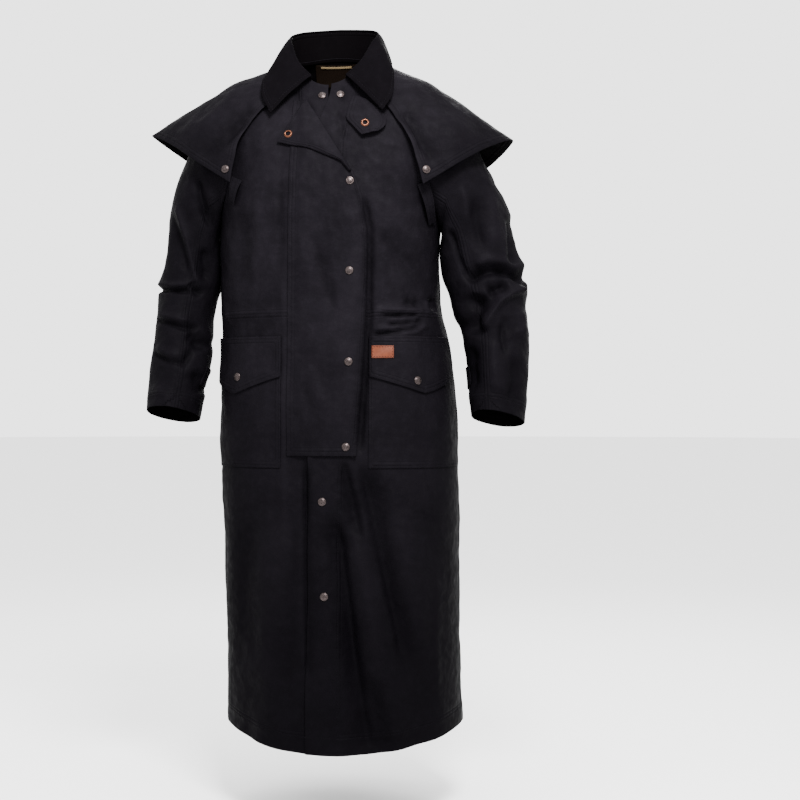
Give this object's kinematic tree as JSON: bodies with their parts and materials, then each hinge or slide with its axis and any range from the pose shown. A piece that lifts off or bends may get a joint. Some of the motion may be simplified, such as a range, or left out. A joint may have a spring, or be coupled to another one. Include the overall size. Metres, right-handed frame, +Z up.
{
  "type": "duster coat",
  "caption": "Long black waxed riding duster worn open at the hollow, with shoulder cape, turned-down collar, storm flap, patch pockets and snaps.",
  "frame": {"origin": "middle of the neck's base, where the wearer's shoulders carry the coat", "axes": "+Z up, -Y towards the coat's front, +X to the wearer's left"},
  "size_m": [0.7184, 0.4065, 1.3491],
  "materials": {
    "waxed_cloth": "near-black oiled cotton with a soft dry sheen",
    "collar_cloth": "near-black napped cotton",
    "tan_leather": "bare tan leather, smooth",
    "label_cloth": "dark brown woven label, bare",
    "label_strip": "straw-coloured woven edge",
    "antique_nickel": "dark plated brass, satin",
    "aged_copper": "reddish plated brass, satin"
  },
  "bodies": {
    "root": {"back_left_skirt": "waxed_cloth", "back_left_upper": "waxed_cloth", "back_right_skirt": "waxed_cloth", "back_right_upper": "waxed_cloth", "cape": "waxed_cloth", "cape_snap_left": "antique_nickel", "cape_snap_right": "antique_nickel", "cape_strap_left": "waxed_cloth", "cape_strap_right": "waxed_cloth", "collar_fall": "collar_cloth", "collar_stand": "collar_cloth", "corner_socket": "aged_copper", "cuff_snap_left": "antique_nickel", "cuff_snap_right": "antique_nickel", "cuff_tab_left": "waxed_cloth", "cuff_tab_right": "waxed_cloth", "front_left_skirt": "waxed_cloth", "front_left_upper": "waxed_cloth", "front_right_skirt": "waxed_cloth", "front_right_upper": "waxed_cloth", "leather_patch": "tan_leather", "neck_label": "label_cloth", "neck_label_strip": "label_strip", "neck_snap_left": "antique_nickel", "neck_snap_right": "antique_nickel", "placket_snap_1": "antique_nickel", "placket_snap_2": "antique_nickel", "pocket_flap_left": "waxed_cloth", "pocket_flap_right": "waxed_cloth", "pocket_left": "waxed_cloth", "pocket_right": "waxed_cloth", "pocket_snap_left": "antique_nickel", "pocket_snap_right": "antique_nickel", "sleeve_left_under": "waxed_cloth", "sleeve_left_upper": "waxed_cloth", "sleeve_right_under": "waxed_cloth", "sleeve_right_upper": "waxed_cloth", "storm_flap": "waxed_cloth", "storm_flap_corner": "waxed_cloth", "storm_snap_1": "antique_nickel", "storm_snap_2": "antique_nickel", "storm_snap_3": "antique_nickel", "storm_snap_4": "antique_nickel", "tab_socket": "aged_copper", "throat_tab": "waxed_cloth"}
  },
  "joints": []
}
